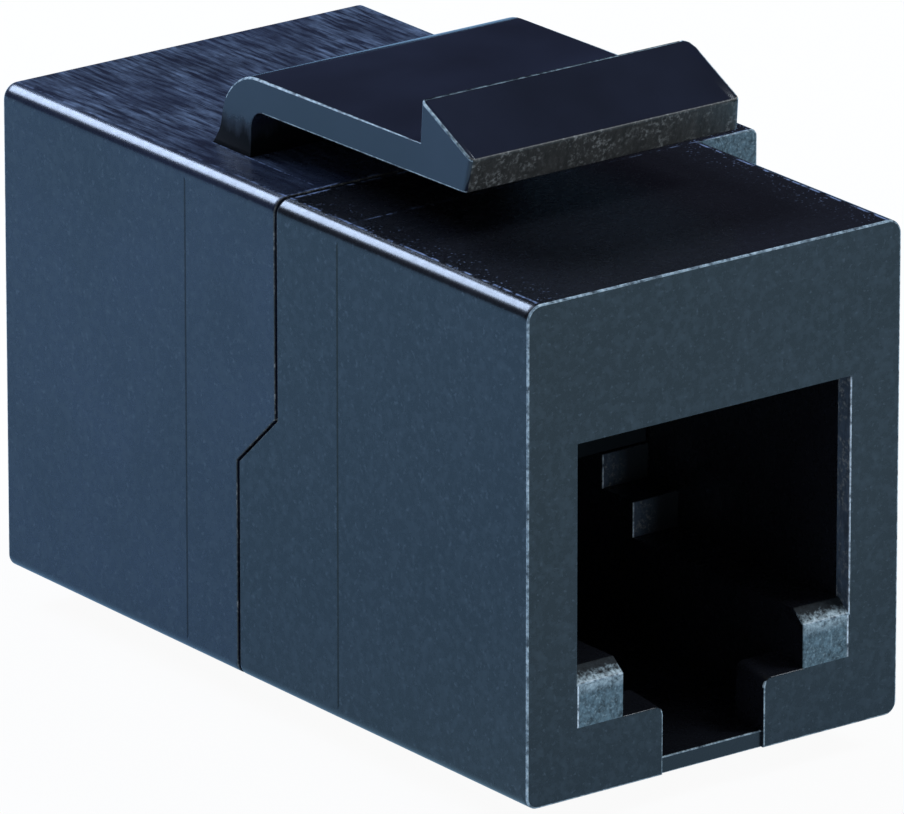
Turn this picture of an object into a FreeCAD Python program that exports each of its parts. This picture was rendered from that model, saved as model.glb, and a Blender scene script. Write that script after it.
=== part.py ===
"""In-line keystone coupler: two moulded half housings slid together over a contact carrier.

The frame: X across the body, Y from the front port to the rear port, Z up. The origin is on the
body's centre line, in the plane where the panel's rear face meets the side stop tab.
"""
import FreeCAD, Part
import math
import os
import Sketcher
from FreeCAD import Placement, Vector

doc = FreeCAD.newDocument("keystone_coupler")

# ---------------------------------------------------------------- driving dimensions, millimetres
SIZES = [
    ("body_width", 14.2, "outside width of both housings"),
    ("body_height", 16.0, "outside height of both housings"),
    ("body_length", 27.1, "front face to rear face"),
    ("seat_depth", 9.5, "front face to the panel's rear face"),
    ("top_round", 0.5, "long edges of the roof"),
    ("bottom_round", 0.42, "long edges of the underside"),
    ("split_setback", 1.25, "stop tab to the joint line, above its step"),
    ("split_step", 2.0, "how far the joint line steps back on its way down"),
    ("split_low", 7.05, "underside to the foot of the joint line's sloping stretch"),
    ("split_slope", 1.85, "height of the sloping stretch"),
    ("split_gap", 0.12, "open joint line between the housings"),
    ("lap_length", 1.2, "tongue of the front housing past the joint line"),
    ("lap_wall", 0.8, "thickness of the tongue"),
    ("lap_floor", 1.4, "underside to the tongue's lower edge"),
    ("slip", 0.05, "clearance of a sliding or resting fit"),
    ("port_width", 10.4, "width of the plug cavity"),
    ("port_top", 11.3, "underside to the ceiling of the plug cavity"),
    ("port_depth", 10.05, "face to the wall that stops the plug's nose"),
    ("rail_gap", 6.9, "clear width between the two floor rails"),
    ("rail_rise", 1.8, "sill to the top of the rails that carry the plug"),
    ("rail_bevel_depth", 0.5, "lead-in bevel at the rail's front end, along the rail"),
    ("rail_bevel_drop", 0.4, "lead-in bevel at the rail's front end, downwards"),
    ("ledge_length", 1.55, "the rails' first step, front to rear"),
    ("ledge_rise", 1.17, "rails to their first step"),
    ("shelf_rise", 1.13, "first step to the shelf that carries the contact carrier"),
    ("floor_level", 2.25, "underside to the sill between the rails"),
    ("sill_rise", 0.17, "slope of the sill over its depth"),
    ("catch_wall", 1.4, "thickness of the sill that the plug's latch hooks behind"),
    ("slot_width", 3.85, "width of the latch slot"),
    ("slot_round", 0.3, "upper corners of the latch slot"),
    ("web_thickness", 0.55, "floor under the latch slot"),
    ("web_setback", 0.12, "how far the floor's edge lies behind the face"),
    ("face_wall", 1.0, "front wall over the contact carrier"),
    ("roof_wall", 1.85, "thickness of the roof over the contact carrier"),
    ("carrier_nose", 0.7, "space in front of the carrier for the contact bends"),
    ("keel_setback", 1.55, "wall behind the socket to the carrier's keel"),
    ("contact_width", 0.46, "contact strip, across the row"),
    ("contact_thickness", 0.36, "contact strip, across its flat"),
    ("contact_pitch", 1.02, "spacing of the contacts"),
    ("contact_bend", 0.5, "bend radius on the strip's centre line"),
    ("contact_reach", 0.55, "how far a contact's free end lies inside the comb slot"),
    ("contact_tip_drop", 3.3, "ceiling of the socket to the free end of a contact"),
    ("contact_root_drop", 0.4, "ceiling of the socket to the bend where a contact turns back"),
    ("comb_relief", 0.65, "comb slot behind the free end of a contact"),
    ("comb_foot", 0.55, "comb slot below the free end of a contact"),
    ("comb_side", 0.1, "comb slot beside a contact"),
    ("latch_width", 10.2, "width of the snap latch and of the fixed foot"),
    ("panel_grip", 1.5, "stop tab to the ridge of the hook, the panel's place"),
    ("hook_ramp", 2.58, "ridge of the hook to the top of its nose"),
    ("hook_height", 1.41, "ridge of the hook above the lever"),
    ("nose_height", 1.11, "height of the nose"),
    ("nose_rake", 0.3, "how far the nose leans back towards its lower edge"),
    ("catch_lean", 0.12, "slope of the hook's catching face"),
    ("lever_gap_front", 1.65, "roof to the lever's underside at the nose"),
    ("lever_gap_rear", 1.46, "roof to the lever's underside at the root"),
    ("lever_front", 1.0, "thickness of the lever at the hook"),
    ("lever_rear", 1.07, "thickness of the lever at the root"),
    ("lever_length", 8.66, "ridge of the hook to the inner side of the latch root"),
    ("root_thickness", 1.5, "latch root, front to rear"),
    ("root_flare", 0.12, "how far the root widens towards the roof"),
    ("root_outer_round", 1.7, "outer bend of the latch root"),
    ("root_inner_round", 0.62, "inner bend of the latch root"),
    ("root_foot_round", 0.16, "fillet between the latch root and the roof"),
    ("ridge_round", 0.12, "edge of the hook's ridge"),
    ("stub_rise", 0.4, "roof to the top of the root stub"),
    ("hinge_rise", 0.75, "roof to the line about which the latch bends"),
    ("knuckle_radius", 0.6, "rolled end of the latch in its root"),
    ("shoulder_gap", 0.22, "space between the latch and its root stub"),
    ("tab_reach", 1.9, "how far the side stop tab stands out"),
    ("tab_thickness", 1.9, "side stop tab, front to rear"),
    ("tab_height", 5.5, "side stop tab, top to bottom"),
    ("tab_round", 0.25, "outer upper edge of the side stop tab"),
    ("foot_reach", 1.0, "how far the fixed foot stands below the underside"),
    ("foot_ramp", 2.6, "length of the fixed foot's lead-in slope"),
    ("foot_land", 0.7, "flat land of the fixed foot"),
]
CONTACT_COUNT = 6

sizes = doc.addObject("Spreadsheet::Sheet", "Sizes")
for row, (alias, value, meaning) in enumerate(SIZES, start=1):
    sizes.set(f"A{row}", alias)
    sizes.set(f"B{row}", str(value))
    sizes.setAlias(f"B{row}", alias)
    sizes.set(f"C{row}", meaning)
doc.recompute()


def size(expression):
    """Value of an expression of the sheet's names."""
    return float(sizes.evalExpression(expression))


# ---------------------------------------------------------------- places, as expressions
ROOF = "Sizes.body_height / 2"
RAIL_TOP = "(Sizes.floor_level + Sizes.rail_rise)"
LEDGE_TOP = f"({RAIL_TOP} + Sizes.ledge_rise)"
SHELF_TOP = f"({LEDGE_TOP} + Sizes.shelf_rise)"
CARRIER_TOP = "(Sizes.body_height - Sizes.roof_wall)"
LEDGE_DEPTH = "(Sizes.port_depth - Sizes.ledge_length)"
KEEL_DEPTH = "(Sizes.port_depth + Sizes.keel_setback)"
RIDGE_DEPTH = "(Sizes.seat_depth - Sizes.panel_grip)"
ROOT_INNER = f"({RIDGE_DEPTH} + Sizes.lever_length)"
ROOT_OUTER = f"({ROOT_INNER} + Sizes.root_thickness)"
ROOT_FOOT = f"({ROOT_OUTER} + Sizes.root_flare)"
MIDDLE = "(Sizes.body_length / 2 - Sizes.seat_depth)"


def inward(end, depth):
    """Y of a point at a depth behind the front face, or before the rear face."""
    if end == "front":
        return f"({depth}) - Sizes.seat_depth"
    return f"Sizes.body_length - Sizes.seat_depth - ({depth})"


def above_base(level):
    return f"({level}) - Sizes.body_height / 2"


def above_roof(rise):
    return f"Sizes.body_height / 2 + ({rise})"


# ---------------------------------------------------------------- modelling helpers
def new_body(name):
    body = doc.addObject("PartDesign::Body", name)
    body.Label = name
    body.Placement = Placement()
    return body


def new_sketch(body, name, role="YZ_Plane"):
    """Sketch on one of the body's own origin planes; on YZ its axes are the row's Y and Z."""
    sketch = body.newObject("Sketcher::SketchObject", name)
    plane = next(item for item in body.Origin.OriginFeatures if item.Role == role)
    sketch.AttachmentSupport = [(plane, "")]
    sketch.MapMode = "FlatFace"
    return sketch


def drive(sketch, index, expression):
    sketch.setExpression(f"Constraints[{index}]", expression)


def pin_point(sketch, geometry, vertex, corner):
    """Hold one sketch point at a pair of expressions."""
    for kind, expression in zip(("DistanceX", "DistanceY"), corner):
        constraint = Sketcher.Constraint(kind, -1, 1, geometry, vertex, size(expression))
        drive(sketch, sketch.addConstraint(constraint), expression)


def polygon(body, name, corners, role="YZ_Plane"):
    """Closed outline of straight sides, each corner driven by the sheet."""
    sketch = new_sketch(body, name, role)
    points = [Vector(size(u), size(v), 0) for u, v in corners]
    count = len(points)
    for index in range(count):
        sketch.addGeometry(Part.LineSegment(points[index], points[(index + 1) % count]))
    for index in range(count):
        sketch.addConstraint(Sketcher.Constraint("Coincident", index, 2, (index + 1) % count, 1))
    for index, corner in enumerate(corners):
        pin_point(sketch, index, 1, corner)
    return sketch


def disc(body, name, centre, radius):
    """Full circle, its centre and radius driven by the sheet."""
    sketch = new_sketch(body, name)
    middle = Vector(size(centre[0]), size(centre[1]), 0)
    sketch.addGeometry(Part.Circle(middle, Vector(0, 0, 1), size(radius)))
    pin_point(sketch, 0, 3, centre)
    drive(sketch, sketch.addConstraint(Sketcher.Constraint("Radius", 0, size(radius))), radius)
    return sketch


def extrude(body, kind, sketch, width, name, must_change=True):
    """Pad or Pocket that spreads a side outline evenly to both sides of the centre plane."""
    doc.recompute()
    before = body.Shape.Volume if body.Tip and not body.Shape.isNull() else 0.0
    feature = body.newObject(kind, name)
    feature.Profile = sketch
    feature.SideType = "Symmetric"
    feature.setExpression("Length", width)
    doc.recompute()
    change = body.Shape.Volume - before
    grows = kind == "PartDesign::Pad"
    if must_change and (change > 0) != grows:
        raise RuntimeError(f"{body.Label}.{name} changed nothing")
    return feature


def pad(body, sketch, width, name):
    return extrude(body, "PartDesign::Pad", sketch, width, name)


def pocket(body, sketch, width, name):
    return extrude(body, "PartDesign::Pocket", sketch, width, name)


def edges_where(body, test):
    """Names of the body's straight edges whose middle point and direction pass a test."""
    names = []
    for index, edge in enumerate(body.Shape.Edges, start=1):
        if edge.Curve.TypeId != "Part::GeomLine":
            continue
        start, end = edge.Vertexes[0].Point, edge.Vertexes[-1].Point
        along = end - start
        if along.Length > 1e-6 and test((start + end) / 2, along.normalize()):
            names.append(f"Edge{index}")
    return names


def near(a, b, tolerance=0.01):
    return abs(a - b) < tolerance


def dress(body, kind, name, parameter, expression, test):
    """Fillet or Chamfer on the edges of the body's last feature that pass the test."""
    doc.recompute()
    names = edges_where(body, test)
    if not names:
        raise RuntimeError(f"{body.Label}.{name} found no edge")
    feature = body.newObject(kind, name)
    feature.Base = (body.Tip if body.Tip is not feature else feature.BaseFeature, names)
    feature.setExpression(parameter, expression)
    doc.recompute()
    return feature


def fillet(body, name, radius, test):
    return dress(body, "PartDesign::Fillet", name, "Radius", radius, test)


def repeat_across(body, feature, name, count, pitch):
    """Copies of a feature at even spacing, centred on the body's middle plane."""
    pattern = body.newObject("PartDesign::LinearPattern", name)
    pattern.Originals = [feature]
    axis = next(item for item in body.Origin.OriginFeatures if item.Role == "X_Axis")
    pattern.Direction = (axis, [""])
    pattern.Occurrences = count
    pattern.setExpression("Length", f"{pitch} * {count - 1}")
    body.Tip = pattern
    doc.recompute()
    return pattern


# ---------------------------------------------------------------- outlines shared by both housings
SPLIT_DEPTH = "(Sizes.seat_depth + Sizes.tab_thickness + Sizes.split_setback)"


def split_outline(end, offset, low, high, reach):
    """Side outline bounded by the stepped joint line moved by an offset, and by a plain end."""
    upper = inward("front", f"{SPLIT_DEPTH} + {offset}")
    lower = inward("front", f"{SPLIT_DEPTH} + Sizes.split_step + {offset}")
    return [
        (reach, low),
        (lower, low),
        (lower, above_base("Sizes.split_low")),
        (upper, above_base("Sizes.split_low + Sizes.split_slope")),
        (upper, high),
        (reach, high),
    ]


def round_long_edges(body):
    """Soften the four long outside edges; the roof's are tighter than the underside's."""
    side = size("Sizes.body_width / 2")
    roof = size(ROOF)

    def long_edge(level):
        return lambda p, d: abs(d.y) > 0.99 and near(abs(p.x), side) and near(p.z, level)

    fillet(body, "roof_rounds", "Sizes.top_round", long_edge(roof))
    fillet(body, "base_rounds", "Sizes.bottom_round", long_edge(-roof))


def cut_port(body, end):
    """Plug cavity, latch chamber, latch slot and the space that the contact carrier fills."""
    outside = inward(end, "-1")
    far = inward(end, "Sizes.body_length / 2 + Sizes.split_step + Sizes.lap_length")
    roof_of_carrier = above_base(f"{CARRIER_TOP} + Sizes.slip")
    cavity = polygon(body, f"{end}_cavity_outline", [
        (outside, above_base(f"{RAIL_TOP} - Sizes.rail_bevel_drop")),
        (inward(end, "0"), above_base(f"{RAIL_TOP} - Sizes.rail_bevel_drop")),
        (inward(end, "Sizes.rail_bevel_depth"), above_base(RAIL_TOP)),
        (inward(end, LEDGE_DEPTH), above_base(RAIL_TOP)),
        (inward(end, LEDGE_DEPTH), above_base(LEDGE_TOP)),
        (inward(end, "Sizes.port_depth"), above_base(LEDGE_TOP)),
        (inward(end, "Sizes.port_depth"), above_base(SHELF_TOP)),
        (far, above_base(SHELF_TOP)),
        (far, roof_of_carrier),
        (inward(end, "Sizes.face_wall"), roof_of_carrier),
        (inward(end, "Sizes.face_wall"), above_base("Sizes.port_top")),
        (outside, above_base("Sizes.port_top")),
    ])
    pocket(body, cavity, "Sizes.port_width", f"{end}_cavity")
    channel = polygon(body, f"{end}_channel_outline", [
        (outside, above_base("Sizes.floor_level")),
        (inward(end, "0"), above_base("Sizes.floor_level")),
        (inward(end, "Sizes.catch_wall"), above_base("Sizes.floor_level + Sizes.sill_rise")),
        (inward(end, "Sizes.catch_wall"), above_base("Sizes.web_thickness")),
        (far, above_base("Sizes.web_thickness")),
        (far, above_base(f"{SHELF_TOP} + Sizes.slip")),
        (outside, above_base(f"{SHELF_TOP} + Sizes.slip")),
    ])
    pocket(body, channel, "Sizes.rail_gap", f"{end}_channel")
    slot = polygon(body, f"{end}_slot_outline", [
        (outside, above_base("Sizes.web_thickness")),
        (inward(end, "Sizes.catch_wall + Sizes.slip"), above_base("Sizes.web_thickness")),
        (inward(end, "Sizes.catch_wall + Sizes.slip"), above_base("Sizes.floor_level + 1")),
        (outside, above_base("Sizes.floor_level + 1")),
    ])
    pocket(body, slot, "Sizes.slot_width", f"{end}_slot")
    lip = polygon(body, f"{end}_lip_outline", [
        (outside, above_base("-1")),
        (inward(end, "Sizes.web_setback"), above_base("-1")),
        (inward(end, "Sizes.web_setback"), above_base("Sizes.web_thickness + Sizes.slip")),
        (outside, above_base("Sizes.web_thickness + Sizes.slip")),
    ])
    pocket(body, lip, "Sizes.slot_width", f"{end}_lip")
    half_slot = size("Sizes.slot_width / 2")
    sill_middle = size(inward(end, "Sizes.catch_wall / 2"))
    sill = size(above_base("Sizes.floor_level + Sizes.sill_rise / 2"))

    def slot_corner(p, d):
        at_sill = near(p.y, sill_middle, 0.1) and near(p.z, sill, 0.05)
        return abs(d.y) > 0.9 and near(abs(p.x), half_slot) and at_sill

    fillet(body, f"{end}_slot_rounds", "Sizes.slot_round", slot_corner)


# ---------------------------------------------------------------- the two housings
def make_front_housing():
    """Sleeve with the front port, the joint's tongue, the side stop tab and the fixed foot."""
    body = new_body("front_housing")
    face = inward("front", "0")
    shell = split_outline("front", "0", above_base("0"), ROOF, face)
    pad(body, polygon(body, "shell_outline", shell), "Sizes.body_width", "shell")
    round_long_edges(body)
    tongue_roof = above_base(f"{CARRIER_TOP} + Sizes.lap_wall")
    tongue = split_outline("front", "Sizes.lap_length", above_base("Sizes.lap_floor"), tongue_roof,
                           inward("front", "Sizes.port_depth"))
    tongue_width = "Sizes.port_width + 2 * Sizes.lap_wall"
    pad(body, polygon(body, "tongue_outline", tongue), tongue_width, "tongue")
    foot_rear = inward("front", f"{RIDGE_DEPTH} + Sizes.catch_lean")
    foot = polygon(body, "foot_outline", [
        (foot_rear, above_base("Sizes.web_thickness")),
        (foot_rear, above_base("-Sizes.foot_reach")),
        (f"{foot_rear} - Sizes.foot_land", above_base("-Sizes.foot_reach")),
        (f"{foot_rear} - Sizes.foot_land - Sizes.foot_ramp", above_base("0")),
        (f"{foot_rear} - Sizes.foot_land - Sizes.foot_ramp", above_base("Sizes.web_thickness")),
    ])
    pad(body, foot, "Sizes.latch_width", "foot")
    add_stop_tab(body)
    cut_port(body, "front")
    return body


def add_stop_tab(body):
    """Tab on the right-hand side whose front face meets the panel."""
    sketch = polygon(body, "tab_outline", [
        ("0", ROOF),
        ("Sizes.tab_thickness", ROOF),
        ("Sizes.tab_thickness", f"{ROOF} - Sizes.tab_height"),
        ("0", f"{ROOF} - Sizes.tab_height"),
    ])
    feature = body.newObject("PartDesign::Pad", "stop_tab")
    feature.Profile = sketch
    feature.setExpression("Length", "Sizes.body_width / 2 + Sizes.tab_reach")
    doc.recompute()
    outer = size("Sizes.body_width / 2 + Sizes.tab_reach")
    roof = size(ROOF)

    def tab_edge(p, d):
        return abs(d.y) > 0.99 and near(p.x, outer) and near(p.z, roof)

    fillet(body, "tab_rounds", "Sizes.tab_round", tab_edge)


def make_rear_housing():
    """Sleeve with the rear port, the rebate for the tongue and the stub of the latch root."""
    body = new_body("rear_housing")
    face = inward("rear", "0")
    shell = split_outline("rear", "Sizes.split_gap", above_base("0"), ROOF, face)
    pad(body, polygon(body, "shell_outline", shell), "Sizes.body_width", "shell")
    round_long_edges(body)
    add_latch_stub(body)
    cut_port(body, "rear")
    tongue_roof = above_base(f"{CARRIER_TOP} + Sizes.lap_wall + Sizes.slip")
    rebate = split_outline("rear", "Sizes.lap_length + Sizes.slip",
                           above_base("Sizes.lap_floor - Sizes.slip"), tongue_roof,
                           inward("front", "Sizes.port_depth"))
    rebate_width = "Sizes.port_width + 2 * (Sizes.lap_wall + Sizes.slip)"
    pocket(body, polygon(body, "rebate_outline", rebate), rebate_width, "rebate")
    return body


def add_latch_stub(body):
    """Lower end of the latch root on the roof, with the round seat that the latch bends in."""
    inner = inward("front", ROOT_INNER)
    outer = inward("front", ROOT_FOOT)
    stub = polygon(body, "stub_outline", [
        (inner, above_roof("-Sizes.top_round")),
        (outer, above_roof("-Sizes.top_round")),
        (outer, above_roof("Sizes.stub_rise")),
        (inner, above_roof("Sizes.stub_rise")),
    ])
    pad(body, stub, "Sizes.latch_width", "latch_stub")
    roof = size(ROOF)
    half = size("Sizes.latch_width / 2")
    ends = (size(inner), size(outer))

    def foot_edge(p, d):
        on_side = near(abs(p.x), half) and ends[0] <= p.y <= ends[1]
        on_end = (near(p.y, ends[0]) or near(p.y, ends[1])) and abs(p.x) < half
        return near(p.z, roof) and abs(d.z) < 0.01 and (on_side or on_end)

    fillet(body, "stub_foot_rounds", "Sizes.root_foot_round", foot_edge)
    seat = disc(body, "seat_outline", hinge_centre(), "Sizes.knuckle_radius + Sizes.slip")
    pocket(body, seat, "Sizes.latch_width + 4 * Sizes.root_foot_round", "latch_seat")


# ---------------------------------------------------------------- the snap latch
def hinge_centre():
    return inward("front", f"({ROOT_INNER} + {ROOT_FOOT}) / 2"), above_roof("Sizes.hinge_rise")


def make_snap_latch():
    """Cantilever lever with its raked nose and hook, down to the line where it bends."""
    body = new_body("snap_latch")
    nose = f"{RIDGE_DEPTH} - Sizes.hook_ramp"
    shoulder = above_roof("Sizes.stub_rise + Sizes.shoulder_gap")
    lever_top = "Sizes.lever_gap_front + Sizes.lever_front"
    root_top = "Sizes.lever_gap_rear + Sizes.lever_rear"
    ridge_top = f"{lever_top} + Sizes.hook_height"
    lever = polygon(body, "lever_outline", [
        (inward("front", f"{nose} + Sizes.nose_rake"), above_roof("Sizes.lever_gap_front")),
        (inward("front", nose), above_roof("Sizes.lever_gap_front + Sizes.nose_height")),
        (inward("front", RIDGE_DEPTH), above_roof(ridge_top)),
        (inward("front", f"{RIDGE_DEPTH} + Sizes.catch_lean"), above_roof(lever_top)),
        (inward("front", ROOT_OUTER), above_roof(root_top)),
        (inward("front", ROOT_FOOT), shoulder),
        (inward("front", ROOT_INNER), shoulder),
        (inward("front", ROOT_INNER), above_roof("Sizes.lever_gap_rear")),
    ])
    pad(body, lever, "Sizes.latch_width", "lever")

    def across_at(depth, rise):
        y, z = size(inward("front", depth)), size(above_roof(rise))
        return lambda p, d: abs(d.x) > 0.99 and near(p.y, y) and near(p.z, z)

    fillet(body, "ridge_edge", "Sizes.ridge_round", across_at(RIDGE_DEPTH, ridge_top))
    fillet(body, "outer_bend", "Sizes.root_outer_round",
           across_at(ROOT_OUTER, root_top))
    fillet(body, "inner_bend", "Sizes.root_inner_round",
           across_at(ROOT_INNER, "Sizes.lever_gap_rear"))
    knuckle = disc(body, "knuckle_outline", hinge_centre(), "Sizes.knuckle_radius")
    pad(body, knuckle, "Sizes.latch_width", "knuckle")
    return body


# ---------------------------------------------------------------- contacts and their carrier
CARRIER_WIDTH = "Sizes.port_width - 2 * Sizes.slip"
NOSE_DEPTH = "Sizes.face_wall + Sizes.carrier_nose"
TIP_DEPTH = "Sizes.port_depth + Sizes.contact_reach"
TIP_LEVEL = "Sizes.port_top - Sizes.contact_tip_drop"
STRIP_FRONT = "Sizes.face_wall + Sizes.slip + Sizes.contact_thickness / 2"
STRIP_TOP = above_base(f"{CARRIER_TOP} - Sizes.contact_thickness / 2 - Sizes.slip")


def make_contact_carrier():
    """Insulating block between the ports, its two ceiling plates grooved for the contacts."""
    body = new_body("contact_carrier")
    plate_under = above_base("Sizes.port_top")
    plate_top = above_base(CARRIER_TOP)
    block_under = above_base(f"{SHELF_TOP} + Sizes.slip")
    block = "Sizes.port_depth"
    pad(body, polygon(body, "plate_outline", [
        (inward("front", NOSE_DEPTH), plate_under),
        (inward("front", block), plate_under),
        (inward("front", block), block_under),
        (inward("rear", block), block_under),
        (inward("rear", block), plate_under),
        (inward("rear", NOSE_DEPTH), plate_under),
        (inward("rear", NOSE_DEPTH), plate_top),
        (inward("front", NOSE_DEPTH), plate_top),
    ]), CARRIER_WIDTH, "plates")
    pad(body, polygon(body, "keel_outline", [
        (inward("front", KEEL_DEPTH), above_base("Sizes.web_thickness + Sizes.slip")),
        (inward("rear", KEEL_DEPTH), above_base("Sizes.web_thickness + Sizes.slip")),
        (inward("rear", KEEL_DEPTH), above_base(f"{SHELF_TOP} + 2 * Sizes.slip")),
        (inward("front", KEEL_DEPTH), above_base(f"{SHELF_TOP} + 2 * Sizes.slip")),
    ]), "Sizes.rail_gap - 2 * Sizes.slip", "keel")
    groove_floor = above_base(f"{CARRIER_TOP} - Sizes.contact_thickness - 2 * Sizes.slip")
    groove = polygon(body, "groove_outline", [
        (inward("front", "0"), groove_floor),
        (inward("rear", "0"), groove_floor),
        (inward("rear", "0"), above_base("Sizes.body_height")),
        (inward("front", "0"), above_base("Sizes.body_height")),
    ])
    cut_row(body, groove, "Sizes.contact_width + 2 * Sizes.slip", "groove")
    comb_floor = above_base(f"{TIP_LEVEL} - Sizes.comb_foot")
    comb_rear = f"{TIP_DEPTH} + Sizes.comb_relief"
    for end in ("front", "rear"):
        comb = polygon(body, f"{end}_comb_outline", [
            (inward(end, LEDGE_DEPTH), comb_floor),
            (inward(end, comb_rear), comb_floor),
            (inward(end, comb_rear), plate_under),
            (inward(end, LEDGE_DEPTH), plate_under),
        ])
        cut_row(body, comb, "Sizes.contact_width + 2 * Sizes.comb_side", f"{end}_comb")
    return body


def cut_row(body, sketch, width, name):
    """One slot for every contact: the outermost is cut first, then repeated across."""
    sketch.setExpression("AttachmentOffset.Base.z", contact_place(0))
    first = pocket(body, sketch, width, name)
    repeat_across(body, first, f"{name}_row", CONTACT_COUNT, "Sizes.contact_pitch")


def contact_place(index):
    """X of a contact, counted from the left-hand side."""
    return f"Sizes.contact_pitch * {index - (CONTACT_COUNT - 1) / 2}"


def make_contact(index):
    """Gold-plated spring strip over the carrier, folded back into both ports."""
    body = new_body(f"contact_{index + 1}")
    place = contact_place(index)
    left, right = (f"{place} {sign} Sizes.contact_width / 2" for sign in "-+")
    low, high = (f"{STRIP_TOP} {sign} Sizes.contact_thickness / 2" for sign in "-+")
    for end in ("front", "rear"):
        path = bent_path(body, f"{end}_path", [
            (MIDDLE, STRIP_TOP),
            (inward(end, STRIP_FRONT), STRIP_TOP),
            (inward(end, STRIP_FRONT), above_base("Sizes.port_top - Sizes.contact_root_drop")),
            (inward(end, TIP_DEPTH), above_base(TIP_LEVEL)),
        ], "Sizes.contact_bend")
        path.setExpression("AttachmentOffset.Base.z", place)
        corners = [(left, low), (right, low), (right, high), (left, high)]
        section = polygon(body, f"{end}_section", corners, "XZ_Plane")
        section.setExpression("AttachmentOffset.Base.z", f"-{MIDDLE}")
        doc.recompute()
        pipe = body.newObject("PartDesign::AdditivePipe", f"{end}_spring")
        pipe.Profile = section
        pipe.Spine = (path, [f"Edge{n + 1}" for n in range(len(path.Shape.Edges))])
        doc.recompute()
    return body


def bent_path(body, name, corners, radius):
    """Open path whose corners are arcs of one radius, tangent to the straight runs."""
    sketch = new_sketch(body, name)
    points = [Vector(size(u), size(v), 0) for u, v in corners]
    bend = size(radius)
    previous = points[0]
    lines, arcs = [], []
    for index in range(1, len(points) - 1):
        corner = points[index]
        back = (points[index - 1] - corner).normalize()
        ahead = (points[index + 1] - corner).normalize()
        half_angle = back.getAngle(ahead) / 2
        trim = bend / math.tan(half_angle)
        start, end = corner + back * trim, corner + ahead * trim
        inwards = (back + ahead).normalize()
        centre = corner + inwards * (trim ** 2 + bend ** 2) ** 0.5
        lines.append(sketch.addGeometry(Part.LineSegment(previous, start)))
        middle = centre - inwards * bend
        arcs.append((sketch.addGeometry(Part.Arc(start, middle, end)), start))
        previous = end
    lines.append(sketch.addGeometry(Part.LineSegment(previous, points[-1])))
    pin_point(sketch, lines[0], 1, corners[0])
    pin_point(sketch, lines[-1], 2, corners[-1])
    for index, (arc, start) in enumerate(arcs):
        arc_start = 1 if (sketch.getPoint(arc, 1) - start).Length < 1e-6 else 2
        sketch.addConstraint(Sketcher.Constraint("Tangent", lines[index], 2, arc, arc_start))
        sketch.addConstraint(Sketcher.Constraint("Tangent", lines[index + 1], 1, arc, 3 - arc_start))
        constraint = Sketcher.Constraint("Radius", arc, bend)
        drive(sketch, sketch.addConstraint(constraint), radius)
        mark = sketch.addGeometry(Part.Point(points[index + 1]), True)
        pin_point(sketch, mark, 1, corners[index + 1])
        for line in (lines[index], lines[index + 1]):
            sketch.addConstraint(Sketcher.Constraint("PointOnObject", mark, 1, line))
    return sketch


# ---------------------------------------------------------------- build, check and write
bodies = [make_front_housing(), make_rear_housing(), make_snap_latch(), make_contact_carrier()]
bodies += [make_contact(index) for index in range(CONTACT_COUNT)]
doc.recompute()

for item in doc.Objects:
    if "Invalid" in item.State or "Error" in item.State:
        raise RuntimeError(f"{item.Name} failed: {item.State}")
for body in bodies:
    shape = body.Shape
    if shape.isNull() or not shape.isValid() or len(shape.Solids) != 1:
        raise RuntimeError(f"{body.Label} is not one valid solid")

os.makedirs("parts", exist_ok=True)
for body in bodies:
    body.Shape.exportStep(os.path.join("parts", f"{body.Label}.step"))
    box = body.Shape.BoundBox
    print(f"{body.Label}: {body.Shape.Volume:.2f} mm3, X {box.XMin:.2f}..{box.XMax:.2f}, "
          f"Y {box.YMin:.2f}..{box.YMax:.2f}, Z {box.ZMin:.2f}..{box.ZMax:.2f}")
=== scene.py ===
"""In-line keystone coupler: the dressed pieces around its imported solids, and its stage."""

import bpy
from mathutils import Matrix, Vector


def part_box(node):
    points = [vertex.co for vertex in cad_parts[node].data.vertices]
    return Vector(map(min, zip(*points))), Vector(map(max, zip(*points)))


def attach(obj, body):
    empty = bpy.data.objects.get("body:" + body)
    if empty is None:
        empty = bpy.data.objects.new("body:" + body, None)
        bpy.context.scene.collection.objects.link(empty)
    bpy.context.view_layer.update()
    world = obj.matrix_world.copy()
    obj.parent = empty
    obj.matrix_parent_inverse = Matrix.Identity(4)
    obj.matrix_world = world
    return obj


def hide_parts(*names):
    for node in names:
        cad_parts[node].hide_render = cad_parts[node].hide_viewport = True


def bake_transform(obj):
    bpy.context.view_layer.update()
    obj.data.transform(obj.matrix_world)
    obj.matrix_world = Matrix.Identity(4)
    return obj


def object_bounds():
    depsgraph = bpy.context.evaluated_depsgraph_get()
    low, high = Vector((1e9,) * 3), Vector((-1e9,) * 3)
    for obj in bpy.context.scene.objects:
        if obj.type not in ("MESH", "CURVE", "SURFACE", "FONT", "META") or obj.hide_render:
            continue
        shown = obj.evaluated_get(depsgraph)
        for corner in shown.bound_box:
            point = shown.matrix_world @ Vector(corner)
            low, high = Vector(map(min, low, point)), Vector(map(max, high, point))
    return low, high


bl_info = {
    "name": "Keystone coupler",
    "version": (1, 1, 0),
    "blender": (4, 5, 0),
    "location": "View3D > Sidebar > Coupler",
    "description": "Builds the moulded coupler's pieces, their finishes and a plain studio stage",
    "category": "Object",
}

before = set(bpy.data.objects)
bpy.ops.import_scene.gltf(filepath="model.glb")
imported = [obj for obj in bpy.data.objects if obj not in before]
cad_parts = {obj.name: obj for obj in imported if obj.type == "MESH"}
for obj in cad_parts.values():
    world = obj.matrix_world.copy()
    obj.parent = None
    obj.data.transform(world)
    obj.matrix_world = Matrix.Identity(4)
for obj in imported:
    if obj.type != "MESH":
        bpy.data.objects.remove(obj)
CAD_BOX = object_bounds()

import math

import bmesh
import bpy
from mathutils import Matrix, Vector

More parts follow.
